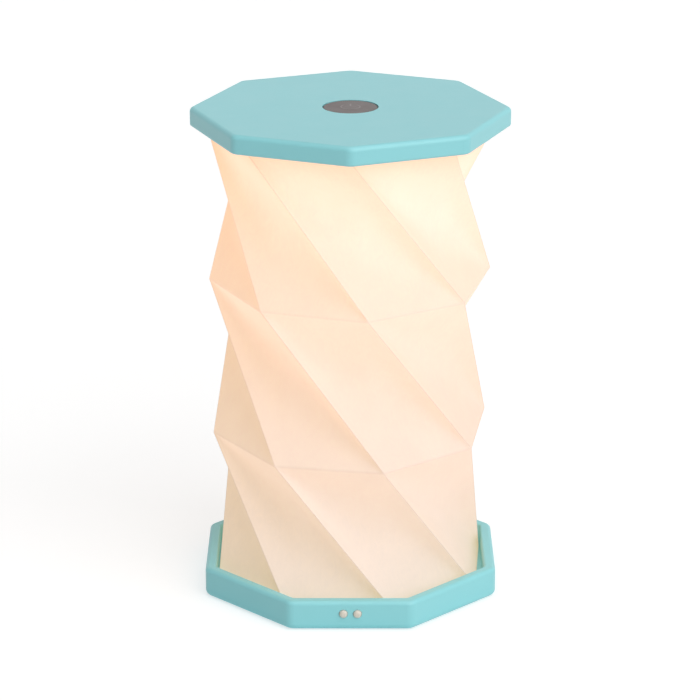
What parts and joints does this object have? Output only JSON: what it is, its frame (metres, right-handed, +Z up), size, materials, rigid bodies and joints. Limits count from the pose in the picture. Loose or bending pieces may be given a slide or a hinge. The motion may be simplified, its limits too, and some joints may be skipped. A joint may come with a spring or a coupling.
{
  "type": "folding table lamp",
  "caption": "Portable table lamp with an octagonal tray base, a twist-folded translucent paper shade and an octagonal lid with a round power button; it presses flat.",
  "frame": {"origin": "on the table, under the middle of the lamp", "axes": "+Z up along the lamp's axis, -Y the front with the two indicator lights, +X to the right seen from the front"},
  "size_m": [0.1136, 0.1136, 0.1784],
  "materials": {
    "aqua_plastic": "fine satin moulded plastic, pale aqua",
    "shade_paper": "cream synthetic paper, folded, lets light through",
    "grey_plastic": "warm grey, satin",
    "milky_plastic": "milky, light-spreading",
    "white_plastic": "white",
    "black_plastic": "black",
    "green_board": "circuit board",
    "cell_foil": "laminated foil pouch",
    "steel": "plated",
    "led_phosphor": "warm white LED",
    "rubber": "soft",
    "lead_jacket": "white lead",
    "plunger_plastic": "black"
  },
  "bodies": {
    "base": {"base_tray": "aqua_plastic", "bottom_cover": "aqua_plastic", "rubber_feet": "rubber", "cover_screws": "steel", "battery_left": "cell_foil", "battery_right": "cell_foil", "battery_tabs": "cell_foil", "charge_board": "green_board", "charge_parts": "black_plastic", "lead_terminal": "black_plastic", "charging_socket": "steel", "indicator_leds": "led_phosphor", "indicator_light_pipes": "milky_plastic", "lower_clamp_ring": "white_plastic", "lower_ring_screws": "steel", "lead_grommet": "rubber", "paper_shade": "shade_paper", "inner_lead": "lead_jacket"},
    "lead_end": {"lead_plug": "black_plastic", "plug_pin": "steel"},
    "lid": {"lid_cover": "aqua_plastic", "lid_plate": "aqua_plastic", "light_diffuser": "milky_plastic", "lamp_board": "white_plastic", "lamp_leds": "led_phosphor", "lamp_driver_parts": "black_plastic", "lead_jack": "black_plastic", "switch_body": "black_plastic", "upper_clamp_ring": "white_plastic", "upper_ring_screws": "steel"},
    "button": {"power_button": "grey_plastic", "switch_plunger": "plunger_plastic"}
  },
  "joints": [
    {"name": "lid_lift", "type": "slide", "parent": "base", "child": "lead_end", "axis": [0, 0, -1], "range_m": [0, 0.1599], "deforming": ["paper_shade", "inner_lead"]},
    {"name": "lid_twist", "type": "hinge", "parent": "lead_end", "child": "lid", "pos_m": [0, 0, 0.1715], "axis": [0, 0, 1], "range_deg": [-113, 0]},
    {"name": "button_press", "type": "slide", "parent": "lid", "child": "button", "axis": [0, 0, -1], "range_m": [0, 0.0004], "stiffness_N_per_m": 600, "springref_m": -0.0015}
  ],
  "couplings": [
    {"joint": "lid_twist", "follows": "lid_lift", "rad_per_m": -12.28}
  ]
}
